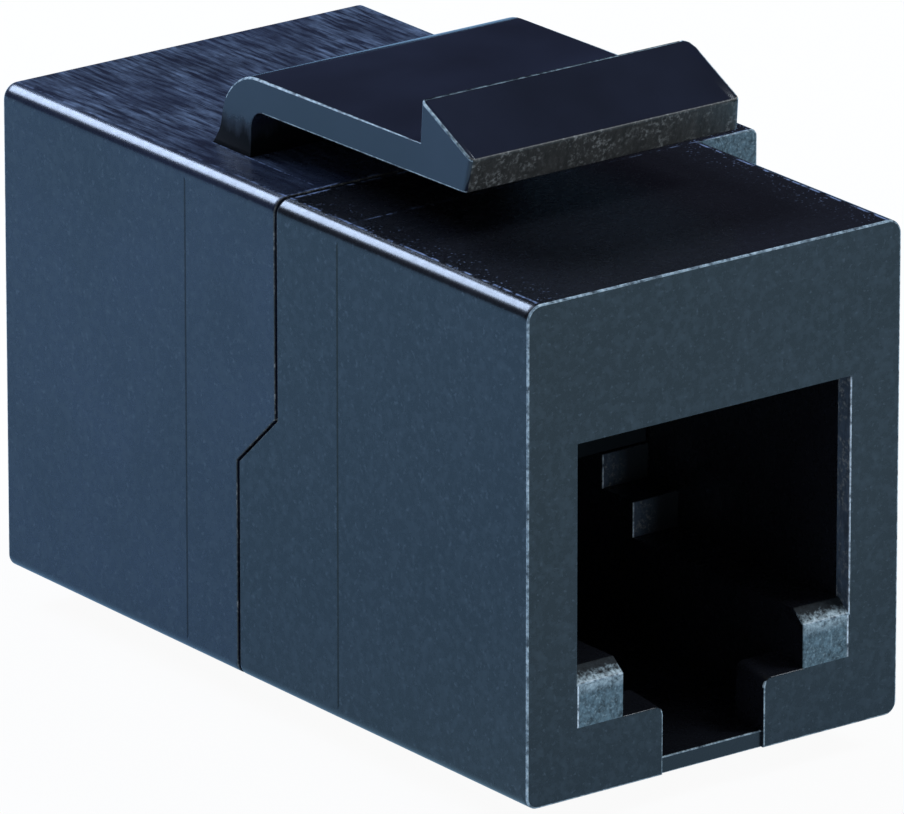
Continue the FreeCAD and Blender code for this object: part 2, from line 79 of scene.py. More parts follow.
MM = 0.001
FRONT_LOW, FRONT_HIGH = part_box("front_housing")
REAR_LOW, REAR_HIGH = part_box("rear_housing")
FACE_Y = FRONT_LOW.y
REAR_Y = REAR_HIGH.y
HALF_WIDTH = REAR_HIGH.x
ROOF = FRONT_HIGH.z
BASE = REAR_LOW.z
BODY_CENTRE = Vector((0, (FACE_Y + REAR_Y) / 2, (ROOF + BASE) / 2))
LATCH_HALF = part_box("snap_latch")[1].x
CARRIER_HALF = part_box("contact_carrier")[1].x

JOINT = 12.7 * MM                           # front face to the housings' joint, on the roof
PORT_HALF = CARRIER_HALF + 0.05 * MM        # plug cavity's side wall
RAIL_INNER = 3.45 * MM                      # inner side of the two floor rails
SILL = BASE + 2.25 * MM                     # top of the sill
RAIL_LIP = BASE + 3.65 * MM                 # where a rail's end meets its lead-in bevel
RAIL_TOP = BASE + 4.05 * MM
PORT_TOP = BASE + 11.3 * MM
MOUTH = 0.62 * MM                           # wall strip behind a socket's rim, painted paler as lit
STEP_START, STEP_END = 8 * MM, 10.6 * MM    # how deep the steps up to the carrier lie
LINE_LOW, LINE_HIGH = BASE + 0.55 * MM, ROOF - 0.6 * MM     # ends of the mould lines
HAIR = 0.001 * MM                           # slack when two places are compared
# The worn edges' slot is worn plastic painted paler as a highlight, the rim's slot is a painted
# highlight, and the slot of a socket's mouth and steps is painted light.
PLAIN, WORN_HIGHLIT, COARSE, RUBBED, SOCKET_LIT, RIM = range(6)   # material slots of the housings and latch
ABS_IOR = 1.53


# ---------------------------------------------------------------- sizes and colours a user may change
class CouplerShape(bpy.types.PropertyGroup):
    """Sizes of the fine forms that the dressed pieces add to the solids."""
    outline_round: bpy.props.FloatProperty(
        name="Outline rounding", description="Rounding of the housings' outside edges",
        default=0.06 * MM, unit="LENGTH", precision=6)
    port_round: bpy.props.FloatProperty(
        name="Socket rounding", description="Rounding of the edges in and round the sockets",
        default=0.04 * MM, unit="LENGTH", precision=6)
    latch_round: bpy.props.FloatProperty(
        name="Latch rounding", description="Rounding of the latch's edges",
        default=0.065 * MM, unit="LENGTH", precision=6)
    line_width: bpy.props.FloatProperty(
        name="Mould line width", description="Width of the fine lines left by the mould's inserts",
        default=0.085 * MM, unit="LENGTH", precision=6)
    line_depth: bpy.props.FloatProperty(
        name="Mould line depth", description="Depth of the fine lines left by the mould's inserts",
        default=0.06 * MM, unit="LENGTH", precision=6)
    front_line: bpy.props.FloatProperty(
        name="Front mould line", description="Front face to the mould line on the front housing",
        default=9.55 * MM, unit="LENGTH", precision=6)
    rear_line: bpy.props.FloatProperty(
        name="Rear mould line", description="Front face to the mould line on the rear housing",
        default=17.42 * MM, unit="LENGTH", precision=6)


class CouplerFinish(bpy.types.PropertyGroup):
    """Colours and gloss of the finishes."""
    # One black ABS in three tones of painted light: the front darker, the rear and latch bluer.
    front_colour: bpy.props.StringProperty(
        name="Front colour", description="Moulded ABS of the front housing, sRGB hex",
        default="#14151a")
    rear_colour: bpy.props.StringProperty(
        name="Rear colour", description="Moulded ABS of the rear housing, sRGB hex",
        default="#1e2436")
    latch_colour: bpy.props.StringProperty(
        name="Latch colour", description="Moulded ABS of the snap latch, sRGB hex",
        default="#1e2230")
    # The edge colour is worn plastic, painted paler still as a highlight along the edges.
    edge_colour: bpy.props.StringProperty(
        name="Edge colour", description="Worn, paler plastic along the edges, sRGB hex",
        default="#a6bac2")
    coarse_colour: bpy.props.StringProperty(
        name="Coarse grain colour", description="Deeply eroded rail ends and tab front, sRGB hex",
        default="#50646b")
    rubbed_colour: bpy.props.StringProperty(
        name="Rubbed colour", description="Dull plastic where plugs and panels rub, sRGB hex",
        default="#35332f")
    # The socket mouth colour is painted light: paler where light reaches just inside a socket and
    # onto its steps.
    mouth_colour: bpy.props.StringProperty(
        name="Socket mouth colour", description="Scuffed wall just inside a socket, sRGB hex",
        default="#44515f")
    # The rim colour is a painted highlight along a socket's rim.
    rim_colour: bpy.props.StringProperty(
        name="Rim colour", description="Socket's rim, polished by plugs, sRGB hex",
        default="#e6f2f8")
    carrier_colour: bpy.props.StringProperty(
        name="Carrier colour", description="Moulded insulator that holds the contacts, sRGB hex",
        default="#101216")
    contact_colour: bpy.props.StringProperty(
        name="Contact colour", description="Gold plating of the contacts, sRGB hex",
        default="#e3b45a")
    body_roughness: bpy.props.FloatProperty(
        name="Body roughness", description="Roughness of the moulded ABS", default=0.27, min=0, max=1)


class CouplerStage(bpy.types.PropertyGroup):
    """Viewing angle and lens."""
    view_azimuth: bpy.props.FloatProperty(
        name="View azimuth", description="Camera's angle round the coupler, 0 faces the front socket",
        default=math.radians(-36.86), subtype="ANGLE")
    view_elevation: bpy.props.FloatProperty(
        name="View elevation", description="Camera's angle above the horizon",
        default=math.radians(19.21), subtype="ANGLE")
    view_distance: bpy.props.FloatProperty(
        name="View distance", description="Camera to the coupler's centre",
        default=412 * MM, unit="LENGTH")
    lens: bpy.props.FloatProperty(
        name="Lens", description="Focal length in millimetres on a 36 mm sensor", default=530.6)


# ---------------------------------------------------------------- small helpers
def linear(hex_colour, factor=1.0):
    """Linear RGBA of an sRGB hex value, times a factor."""
    digits = hex_colour.lstrip("#")
    channels = [int(digits[i:i + 2], 16) / 255 for i in (0, 2, 4)]
    return [factor * (c / 12.92 if c <= 0.04045 else ((c + 0.055) / 1.055) ** 2.4)
            for c in channels] + [1.0]


def add_node(tree, kind, inputs=None, output=0, **settings):
    """Adds a node with its settings and links, and returns one of its outputs.

    An input is a value, or another node's output to link from, under the socket's name or number.
    A MapRange's 1 to 4 are From Min, From Max, To Min and To Max, which are 0, 1, 0 and 1 unless
    given. A Mix's 0, 6 and 7 are its factor and its two colours.
    """
    node = tree.nodes.new("ShaderNode" + kind)
    for name, value in settings.items():
        setattr(node, name, value)
    for name, value in (inputs or {}).items():
        if isinstance(value, bpy.types.NodeSocket):
            tree.links.new(value, node.inputs[name])
        else:
            node.inputs[name].default_value = value
    return node.outputs[output] if node.outputs else None


def new_material(name):
    """Material with an empty node tree, and the tree."""
    material = bpy.data.materials.new(name)
    material.use_nodes = True
    material.node_tree.nodes.clear()
    return material, material.node_tree


# ---------------------------------------------------------------- finishes
def place_in_mm(tree, stretch=(1, 1, 1)):
    """Object coordinates in millimetres, stretched for a pattern that runs one way."""
    place = add_node(tree, "TexCoord", output="Object")
    return add_node(tree, "Mapping", {"Vector": place, "Scale": [s / MM for s in stretch]})


def broken_line(tree, along, across, centre, half_width, gap_mm):
    """Thin scuffed line where a coordinate passes a centre, worn through in dashes."""
    off_line = add_node(tree, "Math", {0: across, 1: centre}, operation="SUBTRACT")
    off_line = add_node(tree, "Math", {0: off_line}, operation="ABSOLUTE")
    line = add_node(tree, "MapRange", {"Value": off_line, 1: 0.0, 2: half_width, 3: 1.0, 4: 0.0})
    gaps = add_node(tree, "TexNoise", {"Vector": along, "Scale": 1 / gap_mm, "Detail": 3.0,
                                       "Roughness": 0.7}, output="Fac")
    dashes = add_node(tree, "MapRange", {"Value": gaps, 1: 0.46, 2: 0.58})
    return product(tree, line, dashes)


def between(tree, value, low, high, soft):
    """1 where a coordinate lies between two limits, with soft ends."""
    rising = add_node(tree, "MapRange", {"Value": value, 1: low - soft, 2: low})
    falling = add_node(tree, "MapRange", {"Value": value, 1: high, 2: high + soft, 3: 1.0, 4: 0.0})
    return product(tree, rising, falling)


def product(tree, *factors):
    """Product of masks and numbers."""
    total = factors[0]
    for factor in factors[1:]:
        total = add_node(tree, "Math", {0: total, 1: factor}, operation="MULTIPLY")
    return total


def overlay(tree, below, mask, colour, strength):
    """A colour laid over another by a mask."""
    amount = product(tree, mask, strength)
    return add_node(tree, "Mix", {0: amount, 6: below, 7: colour}, output=2, data_type="RGBA")


def outside_faces(tree, place):
    """1 on a housing's flat sides, ends and underside; 0 on its roof, roundings and sockets."""
    x, y, z = (add_node(tree, "SeparateXYZ", {"Vector": place}, output=i) for i in range(3))
    from_middle = add_node(tree, "Math", {0: x}, operation="ABSOLUTE")
    skin = 0.015
    outside = 0.0
    for along, low, high in ((from_middle, HALF_WIDTH, HALF_WIDTH), (y, FACE_Y, FACE_Y),
                             (y, REAR_Y, REAR_Y), (z, FRONT_LOW.z, BASE)):
        near = between(tree, along, low / MM - skin, high / MM + skin, skin)
        outside = add_node(tree, "Math", {0: outside, 1: near}, operation="MAXIMUM")
    return outside


def eroded_abs(name, colour_hex, roughness, on_housing):
    """ABS moulded in a spark-eroded tool: near black, with a fine grain that breaks up its sheen.

    The real grain is about 0.02 mm across; it is drawn at 0.1 to 0.3 mm so that it shows. The
    tool's grain stops short of the long roundings, and the roof between them is worn. The latch
    is smoother, and its foot has painted shade: black and dull where it meets the roof.
    """
    material, tree = new_material(name)
    place = place_in_mm(tree)
    cloud = add_node(tree, "TexNoise", {"Vector": place, "Scale": 1 / 4.0, "Detail": 3.0},
                     output="Fac")
    grain = add_node(tree, "TexNoise", {"Vector": place, "Scale": 1 / 0.1, "Detail": 3.0,
                                        "Roughness": 0.6}, output="Fac")
    cloud = add_node(tree, "MapRange", {"Value": cloud, 1: 0.3, 2: 0.7})
    tone = add_node(tree, "Mix", {0: cloud, 6: linear(colour_hex, 0.7), 7: linear(colour_hex, 1.2)},
                    output=2, data_type="RGBA")
    if on_housing:
        mottle = add_node(tree, "TexNoise", {"Vector": place, "Scale": 1 / 0.3, "Detail": 4.0,
                                             "Roughness": 0.65}, output="Fac")
        fleck = add_node(tree, "TexNoise", {"Vector": place, "Scale": 1 / 0.13, "Detail": 1.0},
                         output="Fac")
        grained = outside_faces(tree, place)
        speckle = add_node(tree, "MapRange", {"Value": mottle, 1: 0.45, 2: 0.75})
        tone = overlay(tree, tone, product(tree, speckle, grained), linear("#3a454d"), 0.5)
        bright = add_node(tree, "MapRange", {"Value": fleck, 1: 0.62, 2: 0.76})
        tone = overlay(tree, tone, product(tree, bright, grained), linear("#525e68"), 0.4)
        tone = roof_wear(tree, tone, place)
        rough = add_node(tree, "MapRange", {"Value": mottle, 1: 0.3, 2: 0.7, 3: roughness - 0.02,
                                            4: roughness + 0.03})
        grain = product(tree, grain, grained)
        sheen = 0.5
    else:
        # painted shade: the foot is painted black and its sheen lowered, up to a ragged line just
        # above the roof
        upright_streaks = add_node(tree, "TexNoise", {"Vector": place_in_mm(tree, (1, 1, 0.25)),
                                            "Scale": 1 / 0.35, "Detail": 4.0, "Roughness": 0.65},
                         output="Fac")
        height = add_node(tree, "SeparateXYZ", {"Vector": place}, output="Z")
        ragged = add_node(tree, "Math", {0: height, 1: product(tree, upright_streaks, 1.2)},
                          operation="SUBTRACT")
        painted_foot_shade = add_node(tree, "MapRange", {"Value": ragged, 1: ROOF / MM - 0.1,
                                               2: ROOF / MM + 0.6, 3: 1.0, 4: 0.0})
        tone = overlay(tree, tone, painted_foot_shade, linear("#08090b"), 0.95)
        rough = add_node(tree, "MapRange", {"Value": painted_foot_shade, 3: roughness - 0.06, 4: 0.6})
        sheen = add_node(tree, "MapRange", {"Value": painted_foot_shade, 3: 0.5, 4: 0.12})
    bump = add_node(tree, "Bump", {"Height": grain, "Strength": 1.0, "Distance": 0.0016 * MM})
    shader = add_node(tree, "BsdfPrincipled", {
        "Base Color": tone, "Roughness": rough, "IOR": ABS_IOR, "Specular IOR Level": sheen,
        "Normal": bump})
    add_node(tree, "OutputMaterial", {"Surface": shader})
    return material


def roof_wear(tree, tone, place):
    """Rub marks, dust with painted glints, and worn lines on the roof, over a tone."""
    x, y, z = (add_node(tree, "SeparateXYZ", {"Vector": place}, output=i) for i in range(3))
    roof, half = ROOF / MM, HALF_WIDTH / MM
    joint = (FACE_Y + JOINT) / MM
    mould_line = (FACE_Y + bpy.context.scene.coupler_shape.front_line) / MM
    on_roof = between(tree, z, roof - 0.03, roof + 0.03, 0.02)
    from_middle = add_node(tree, "Math", {0: x}, operation="ABSOLUTE")

    # rub marks: 0.1 mm wide and 1 to 2.5 mm long, dense at the rear and fading forwards
    stretched = place_in_mm(tree, (1, 0.1, 1))
    strokes = add_node(tree, "TexNoise", {"Vector": stretched, "Scale": 1 / 0.17, "Detail": 4.0,
                                          "Roughness": 0.62}, output="Fac")
    strokes = add_node(tree, "MapRange", {"Value": strokes, 1: 0.40, 2: 0.76})
    towards_rear = add_node(tree, "MapRange", {"Value": y, 1: joint - 0.2, 2: joint + 9.8,
                                               3: 0.06, 4: 1.0})
    behind_joint = add_node(tree, "MapRange", {"Value": y, 1: joint, 2: joint + 0.1})
    rubbed = add_node(tree, "TexNoise", {"Vector": place, "Scale": 1 / 1.7}, output="Fac")
    rubbed = add_node(tree, "MapRange", {"Value": rubbed, 1: 0.33, 2: 0.6, 3: 0.35, 4: 1.0})
    tone = overlay(tree, tone, product(tree, strokes, on_roof, towards_rear, behind_joint, rubbed),
                   linear("#7a8ca8"), 0.85)

    # a thin film of handling over all of the roof
    film = add_node(tree, "TexNoise", {"Vector": place, "Scale": 1 / 0.25, "Detail": 4.0,
                                       "Roughness": 0.7}, output="Fac")
    film = add_node(tree, "MapRange", {"Value": film, 1: 0.45, 2: 0.75})
    tone = overlay(tree, tone, product(tree, film, on_roof), linear("#1d1f27"), 0.5)

    # dust and painted glints: 0.05 mm specks, most of them beside the front housing's long edges
    dust_and_glints = add_node(tree, "TexNoise", {"Vector": place, "Scale": 1 / 0.075, "Detail": 0.0},
                    output="Fac")
    dust_and_glints = add_node(tree, "MapRange", {"Value": dust_and_glints, 1: 0.74, 2: 0.8})
    beside_edge = add_node(tree, "MapRange", {"Value": from_middle, 1: half - 1.9, 2: half - 0.5,
                                              3: 0.06, 4: 1.0})
    in_front = add_node(tree, "MapRange", {"Value": y, 1: joint - 0.2, 2: joint, 3: 1.0, 4: 0.12})
    tone = overlay(tree, tone, product(tree, dust_and_glints, on_roof, beside_edge, in_front),
                   linear("#8c9cbd"), 0.6)

    # worn lines: where the roof runs into its long roundings, beside the latch, over the front
    # mould line and along both sides of the joint
    rounding = product(tree, broken_line(tree, place, from_middle, half - 0.5, 0.06, 0.6),
                       add_node(tree, "MapRange", {"Value": y, 1: joint, 2: joint + 2.8,
                                                   3: 1.0, 4: 0.35}))
    insert = product(tree, broken_line(tree, place, from_middle, half - 1.8, 0.04, 0.5),
                     between(tree, y, joint + 0.1, joint + 5.7, 0.1))
    across = broken_line(tree, place, y, mould_line, 0.05, 0.5)
    lips = add_node(tree, "Math", {0: broken_line(tree, place, y, joint - 0.16, 0.08, 0.4),
                                   1: broken_line(tree, place, y, joint + 0.16, 0.08, 0.5)},
                    operation="MAXIMUM")
    for mask, strength in ((rounding, 0.9), (insert, 0.55), (across, 0.4), (lips, 0.8)):
        tone = overlay(tree, tone, product(tree, mask, on_roof), linear("#93a6cc"), strength)
    return tone


def worn_highlit_edge(name, colour_hex):
    """The same ABS along its edges: polished and paled by handling in broken crumbs, and painted
    paler still as a highlight.
    """
    material, tree = new_material(name)
    place = place_in_mm(tree)
    wear = add_node(tree, "TexNoise", {"Vector": place, "Scale": 1 / 0.35, "Detail": 4.0,
                                       "Roughness": 0.75}, output="Fac")
    wear = add_node(tree, "MapRange", {"Value": wear, 1: 0.34, 2: 0.54, 3: 0.05, 4: 1.0})
    crumb = add_node(tree, "TexNoise", {"Vector": place, "Scale": 1 / 0.14, "Detail": 3.0},
                     output="Fac")
    bruised = add_node(tree, "MapRange", {"Value": crumb, 1: 0.34, 2: 0.5, 3: 1.0, 4: 0.0})
    # painted glints on the worn stretches
    painted_glint = add_node(tree, "MapRange", {"Value": crumb, 1: 0.5, 2: 0.68})
    tone = add_node(tree, "Mix", {0: wear, 6: linear("#171d28"), 7: linear(colour_hex)},
                    output=2, data_type="RGBA")
    tone = overlay(tree, tone, bruised, linear("#2a333d"), 0.6)
    tone = overlay(tree, tone, product(tree, painted_glint, wear), linear("#e4eeee"), 0.45)
    shader = add_node(tree, "BsdfPrincipled", {"Base Color": tone, "Roughness": 0.37, "IOR": ABS_IOR})
    add_node(tree, "OutputMaterial", {"Surface": shader})
    return material


def coarse_abs(name, colour_hex):
    """ABS from a deeply eroded patch of the tool: a pale rough crust with painted glints on its
    crests.

    The real crests are about 0.05 mm apart; they are drawn at 0.1 mm so that they show. On a
    rail the crust is worn and painted palest at the lip as a highlight, and painted black behind it
    on the lead-in bevel as shade.
    """
    material, tree = new_material(name)
    place = place_in_mm(tree)
    crust = add_node(tree, "TexNoise", {"Vector": place, "Scale": 1 / 0.16, "Detail": 3.0,
                                        "Roughness": 0.65}, output="Fac")
    crest = add_node(tree, "TexNoise", {"Vector": place, "Scale": 1 / 0.1}, output="Fac")
    crust = add_node(tree, "MapRange", {"Value": crust, 1: 0.3, 2: 0.7})
    tone = add_node(tree, "Mix", {0: crust, 6: linear(colour_hex, 0.25), 7: linear(colour_hex, 1.9)},
                    output=2, data_type="RGBA")
    # painted glints on the crests
    painted_glint = add_node(tree, "MapRange", {"Value": crest, 1: 0.55, 2: 0.72})
    tone = overlay(tree, tone, painted_glint, linear("#b4c9ce"), 0.4)
    height = add_node(tree, "SeparateXYZ", {"Vector": place}, output="Z")
    lip, top = RAIL_LIP / MM, RAIL_TOP / MM
    # painted highlight along a rail's worn lip
    by_lip = between(tree, height, lip - 0.1, lip + 0.12, 0.3)
    tone = overlay(tree, tone, product(tree, crust, by_lip), linear("#c4d6da"), 0.9)
    # painted shade: behind the lip the lead-in bevel is painted black
    ragged = add_node(tree, "Math", {0: height, 1: product(tree, crust, 0.2)},
                      operation="SUBTRACT")
    behind_lip = add_node(tree, "MapRange", {"Value": ragged, 1: lip - 0.06, 2: lip + 0.14})
    on_rail = add_node(tree, "MapRange", {"Value": height, 1: top, 2: top + 0.05, 3: 1.0, 4: 0.0})
    painted_shade_behind_lip = product(tree, behind_lip, on_rail)
    tone = overlay(tree, tone, painted_shade_behind_lip, linear("#08090c"), 0.95)
    rough = add_node(tree, "MapRange", {"Value": painted_shade_behind_lip, 3: 0.42, 4: 0.85})
    bump = add_node(tree, "Bump", {"Height": crust, "Strength": 1.0, "Distance": 0.02 * MM})
    shader = add_node(tree, "BsdfPrincipled", {
        "Base Color": tone, "Roughness": rough, "IOR": ABS_IOR, "Normal": bump})
    add_node(tree, "OutputMaterial", {"Surface": shader})
    return material


def socket_lit_abs(name, colour_hex):
    """The dull ABS in a socket, painted paler as lit: no sheen left, and painted shade towards the
    wall deep inside.
    """
    return rubbed_abs(name, colour_hex, roughness=0.75, in_socket=True)


def rubbed_abs(name, colour_hex, roughness=0.45, in_socket=False):
    """The same ABS where plugs and panels rub: dull and greyer, with pale specks in clusters."""
    material, tree = new_material(name)
    place = place_in_mm(tree)
    upright_streaks = add_node(tree, "TexNoise", {"Vector": place_in_mm(tree, (1, 1, 0.3)),
                                        "Scale": 1 / 0.25, "Detail": 4.0, "Roughness": 0.7},
                     output="Fac")
    upright_streaks = add_node(tree, "MapRange", {"Value": upright_streaks, 1: 0.35, 2: 0.7})
    cluster = add_node(tree, "TexNoise", {"Vector": place, "Scale": 1 / 0.9, "Detail": 3.0,
                                          "Roughness": 0.6}, output="Fac")
    cluster = add_node(tree, "MapRange", {"Value": cluster, 1: 0.4, 2: 0.56, 3: 0.1, 4: 1.0})
    tone = add_node(tree, "Mix", {0: upright_streaks, 6: linear(colour_hex, 0.6), 7: linear(colour_hex, 1.5)},
                    output=2, data_type="RGBA")
    speck = add_node(tree, "TexNoise", {"Vector": place, "Scale": 1 / 0.14, "Detail": 3.0,
                                        "Roughness": 0.7}, output="Fac")
    speck = add_node(tree, "MapRange", {"Value": speck, 1: 0.5, 2: 0.66})
    tone = overlay(tree, tone, product(tree, speck, cluster), linear("#9a9a94"), 0.8)
    if in_socket:
        # painted shade: deep inside a socket the faces are painted black towards the wall
        x, y = (add_node(tree, "SeparateXYZ", {"Vector": place}, output=i) for i in range(2))
        from_middle = add_node(tree, "Math", {0: x}, operation="ABSOLUTE")
        by_wall = add_node(tree, "MapRange", {"Value": from_middle, 1: RAIL_INNER / MM + 0.1,
                                              2: RAIL_INNER / MM + 1.0})
        deep = between(tree, y, FACE_Y / MM + 6, REAR_Y / MM - 6, 0.5)
        tone = overlay(tree, tone, product(tree, by_wall, deep), linear("#08090b"), 0.95)
    bump = add_node(tree, "Bump", {"Height": upright_streaks, "Strength": 1.0, "Distance": 0.006 * MM})
    shader = add_node(tree, "BsdfPrincipled", {
        "Base Color": tone, "Roughness": roughness, "IOR": ABS_IOR, "Normal": bump})
    add_node(tree, "OutputMaterial", {"Surface": shader})
    return material


def filled_insulator(name, colour_hex):
    """Glass-filled insulator of the contact carrier: blacker and duller than the housings."""
    material, tree = new_material(name)
    flow = add_node(tree, "TexNoise", {"Vector": place_in_mm(tree, (1, 0.25, 1)),
                                       "Scale": 1 / 0.4, "Detail": 3.0}, output="Fac")
    grain = add_node(tree, "TexNoise", {"Vector": place_in_mm(tree), "Scale": 1 / 0.08}, output="Fac")
    tone = add_node(tree, "Mix", {0: flow, 6: linear(colour_hex, 0.7), 7: linear(colour_hex, 1.3)},
                    output=2, data_type="RGBA")
    rough = add_node(tree, "MapRange", {"Value": flow, 1: 0.3, 2: 0.7, 3: 0.42, 4: 0.55})
    bump = add_node(tree, "Bump", {"Height": grain, "Strength": 1.0, "Distance": 0.003 * MM})
    shader = add_node(tree, "BsdfPrincipled", {
        "Base Color": tone, "Roughness": rough, "IOR": ABS_IOR, "Normal": bump})
    add_node(tree, "OutputMaterial", {"Surface": shader})
    return material


def gold_plated_strip(name, colour_hex):
    """Phosphor bronze strip, rolled and gold plated: bright, with fine lines along its length."""
    material, tree = new_material(name)
    rolled = add_node(tree, "TexNoise", {"Vector": place_in_mm(tree, (1, 0.05, 0.05)),
                                         "Scale": 1 / 0.03}, output="Fac")
    tone = add_node(tree, "Mix", {0: rolled, 6: linear(colour_hex, 0.85), 7: linear(colour_hex)},
                    output=2, data_type="RGBA")
    rough = add_node(tree, "MapRange", {"Value": rolled, 1: 0.3, 2: 0.7, 3: 0.2, 4: 0.32})
    bump = add_node(tree, "Bump", {"Height": rolled, "Strength": 1.0, "Distance": 0.001 * MM})
    shader = add_node(tree, "BsdfPrincipled", {
        "Base Color": tone, "Metallic": 1.0, "Roughness": rough, "Normal": bump})
    add_node(tree, "OutputMaterial", {"Surface": shader})
    return material


def moulding_finishes(part):
    """The finishes of the front housing, the rear housing or the latch, in slot order."""
    finish = bpy.context.scene.coupler_finish
    colour = getattr(finish, part + "_colour")
    shared = [
        ("abs_worn_highlit_edge", worn_highlit_edge, finish.edge_colour),
        ("abs_coarse_eroded", coarse_abs, finish.coarse_colour),
        ("abs_rubbed", rubbed_abs, finish.rubbed_colour),
        ("abs_socket_painted_light", socket_lit_abs, finish.mouth_colour),
        ("abs_rim_painted_highlight", worn_highlit_edge, finish.rim_colour),
    ]
    body = eroded_abs("abs_fine_eroded_" + part, colour, finish.body_roughness, part != "latch")
    return [body] + [bpy.data.materials.get(name) or make(name, colour_hex)
                     for name, make, colour_hex in shared]


# ---------------------------------------------------------------- shaping helpers
def clean_copy(node):
    """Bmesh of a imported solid, its loose triangles joined and its flat faces made whole."""
    shape = bmesh.new()
    shape.from_mesh(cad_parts[node].data)
    bmesh.ops.remove_doubles(shape, verts=shape.verts, dist=0.0005 * MM)
    bmesh.ops.dissolve_limit(shape, angle_limit=math.radians(0.6), verts=shape.verts,
                             edges=shape.edges)
    return shape


def bevel(shape, edges, width, segments):
    """Rounding of given edges; returns its new faces."""
    return bmesh.ops.bevel(shape, geom=edges, offset=width, offset_type="OFFSET", affect="EDGES",
                           segments=segments, profile=0.5, material=-1,
                           clamp_overlap=False)["faces"]


def outward_edges(shape, least_turn=math.radians(32)):
    """Edges that stick out, sharper than a turn."""
    shape.normal_update()
    return [e for e in shape.edges if e.is_manifold and e.calc_face_angle_signed() > least_turn]


def cut(shape, faces, point, direction):
    """Splits faces by a plane."""
    parts = set(faces)
    for face in faces:
        parts.update(face.edges)
        parts.update(face.verts)
    bmesh.ops.bisect_plane(shape, geom=list(parts), plane_co=point, plane_no=direction,
                           dist=0.0001 * MM)


def score_line(shape, side, y, low, high, width, depth):
    """V-shaped line down one side wall of a housing."""
    def wall():
        return [f for f in shape.faces if f.normal.x * side > 0.999
                and abs(f.calc_center_median().x * side - HALF_WIDTH) < HAIR]
    for z in (low, high):
        cut(shape, wall(), (0, 0, z), (0, 0, 1))
    for offset in (-width / 2, 0, width / 2):
        cut(shape, wall(), (0, y + offset, 0), (0, 1, 0))
    for vertex in shape.verts:
        on_line = abs(vertex.co.x * side - HALF_WIDTH) < HAIR and abs(vertex.co.y - y) < HAIR
        if on_line and low - HAIR < vertex.co.z < high + HAIR:
            vertex.co.x -= side * depth


def shade_rounded(mesh):
    """Normals that keep flat faces flat and let the roundings run smoothly into them.

    A face counts as flat if it lies square to an axis or is wider than a rounding's facet. Next to
    a flat face a rounding takes that face's normal, and elsewhere the mean of its neighbours'.
    """
    facet = 0.4 * MM
    around = [[] for _ in mesh.vertices]
    for face in mesh.polygons:
        for index in face.vertices:
            around[index].append(face.index)
    normals = [face.normal.copy() for face in mesh.polygons]
    straight, near = math.cos(math.radians(0.5)), math.cos(math.radians(38))
    flat = []
    for face in mesh.polygons:
        ends = [mesh.vertices[index].co for index in face.vertices]
        rim = sum((a - b).length for a, b in zip(ends, ends[1:] + ends[:1]))
        wide = 2 * face.area > facet * rim
        flat.append(wide or max(abs(c) for c in face.normal) > straight)
    shaded = []
    for face in mesh.polygons:
        own = normals[face.index]
        for index in face.vertices:
            if flat[face.index]:
                shaded.append(own)
                continue
            close = [i for i in around[index] if normals[i].dot(own) > near]
            flats = [i for i in close if flat[i]]
            if flats:
                shaded.append(normals[max(flats, key=lambda i: normals[i].dot(own))])
                continue
            distinct = []
            for i in close:
                if all(normals[i].dot(other) < 0.9995 for other in distinct):
                    distinct.append(normals[i])
            shaded.append(sum(distinct, Vector()).normalized())
    mesh.shade_smooth()
    mesh.normals_split_custom_set(shaded)


def finish_piece(shape, name, body, materials, solid):
    """Object from a bmesh, shaded and given its materials, riding on its body for a solid."""
    mesh = bpy.data.meshes.new(name)
    bmesh.ops.recalc_face_normals(shape, faces=shape.faces)
    shape.to_mesh(mesh)
    shape.free()
    for material in materials:
        mesh.materials.append(material)
    shade_rounded(mesh)
    piece = bpy.data.objects.new(name, mesh)
    bpy.context.scene.collection.objects.link(piece)
    if body:
        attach(piece, body)
    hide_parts(solid)
    return piece


# ---------------------------------------------------------------- the two housings
def into_socket(point):
    """How far a point lies behind the nearer end face."""
    return min(point.y - FACE_Y, REAR_Y - point.y)


def in_socket(point):
    """Whether a point lies in or on the rim of a plug cavity, its rails or its floor."""
    inside = abs(point.x) < PORT_HALF + 0.06 * MM
    return inside and SILL - 0.1 * MM < point.z < PORT_TOP + 0.06 * MM


def near_joint(point):
    """Whether a point lies near the joint between the two housings, which slopes back below."""
    return JOINT - 1.7 * MM < point.y - FACE_Y < JOINT + 2.8 * MM


def edge_finish(point, normal):
    """Material slot of a rounded edge of a housing, by where it lies."""
    depth = into_socket(point)
    near = 0.06 * MM
    if in_socket(point):
        nearer_end = -1 if point.y < BODY_CENTRE.y else 1
        # the rim beside the right-hand wall and the steps' edges get the rim's painted highlight
        right_rim = point.x * -nearer_end > PORT_HALF - near and depth < 0.1 * MM
        if right_rim and point.z > SILL:
            return RIM
        on_rail = abs(point.x) > RAIL_INNER - near and point.z < RAIL_TOP + 0.05 * MM
        if on_rail and depth < 0.6 * MM:
            return WORN_HIGHLIT if abs(point.z - RAIL_LIP) < near else COARSE
        on_step = STEP_START < depth < STEP_END and point.z > RAIL_TOP and abs(normal.z) < 0.3
        return RIM if on_step and abs(abs(point.x) - RAIL_INNER) < near else PLAIN
    if abs(point.x) < PORT_HALF and depth > 0.2 * MM and point.z < ROOF - 0.2 * MM:
        return PLAIN
    return RUBBED if near_joint(point) else WORN_HIGHLIT


